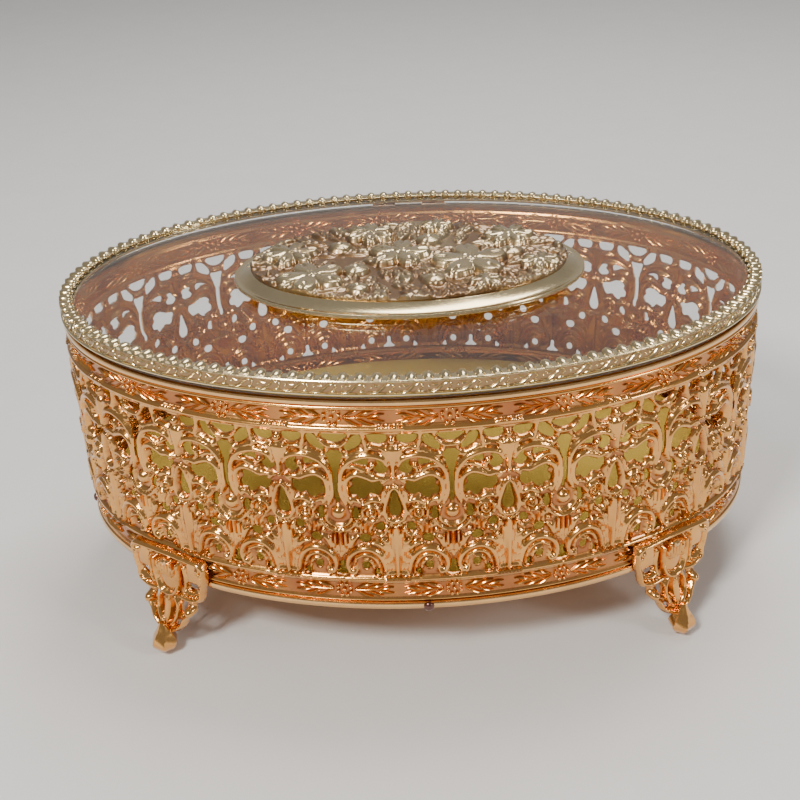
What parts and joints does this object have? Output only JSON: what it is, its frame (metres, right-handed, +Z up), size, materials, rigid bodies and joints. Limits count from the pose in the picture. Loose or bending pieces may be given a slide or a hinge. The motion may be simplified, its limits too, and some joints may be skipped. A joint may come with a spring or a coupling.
{
  "type": "footed oval trinket box",
  "caption": "Oval pierced-metal vanity box on scrolled feet, with a hinged clear glass lid that carries a raised floral medallion and a padded floor.",
  "frame": {"origin": "on the table under the middle of the box's bounding box, hinge included", "axes": "+X along the oval's length, +Y towards the hinge, +Z up; the front faces -Y"},
  "size_m": [0.231, 0.1622, 0.111],
  "materials": {
    "gilt": "warm gold plate on stamped brass, polished high spots, toned recesses",
    "pale_gilt": "paler gold plate, polished",
    "dark_rivet": "tarnished dark brown, satin",
    "glass": "clear, flat, polished",
    "velvet": "olive-gold short-pile velvet",
    "card": "plain stiff board",
    "adhesive": "matt bonding pad"
  },
  "bodies": {
    "case": {"side_band_front": "gilt", "side_band_rear": "gilt", "lower_rim": "gilt", "upper_rim": "gilt", "base_pan": "gilt", "foot_front_left": "gilt", "foot_front_right": "gilt", "foot_rear_left": "gilt", "foot_rear_right": "gilt", "foot_rivet_front_left": "gilt", "foot_rivet_front_right": "gilt", "foot_rivet_rear_left": "gilt", "foot_rivet_rear_right": "gilt", "hinge_leaf_body": "gilt", "hinge_pin": "gilt", "hinge_rivet_left": "gilt", "hinge_rivet_right": "gilt", "base_rivet_front": "dark_rivet", "base_rivet_right": "dark_rivet", "base_rivet_rear": "dark_rivet", "base_rivet_left": "dark_rivet", "velvet_pad": "velvet", "pad_board": "card"},
    "lid": {"lid_bezel": "pale_gilt", "glass_seat_ring": "pale_gilt", "gallery_ring": "pale_gilt", "glass_pane": "glass", "medallion_pad": "adhesive", "medallion_tray": "pale_gilt", "medallion_relief": "pale_gilt", "hinge_leaf_lid": "gilt"}
  },
  "joints": [
    {"name": "lid_hinge", "type": "hinge", "parent": "case", "child": "lid", "pos_m": [0, 0.0785, 0.0977], "axis": [-1, 0, 0], "range_deg": [0, 100]}
  ]
}
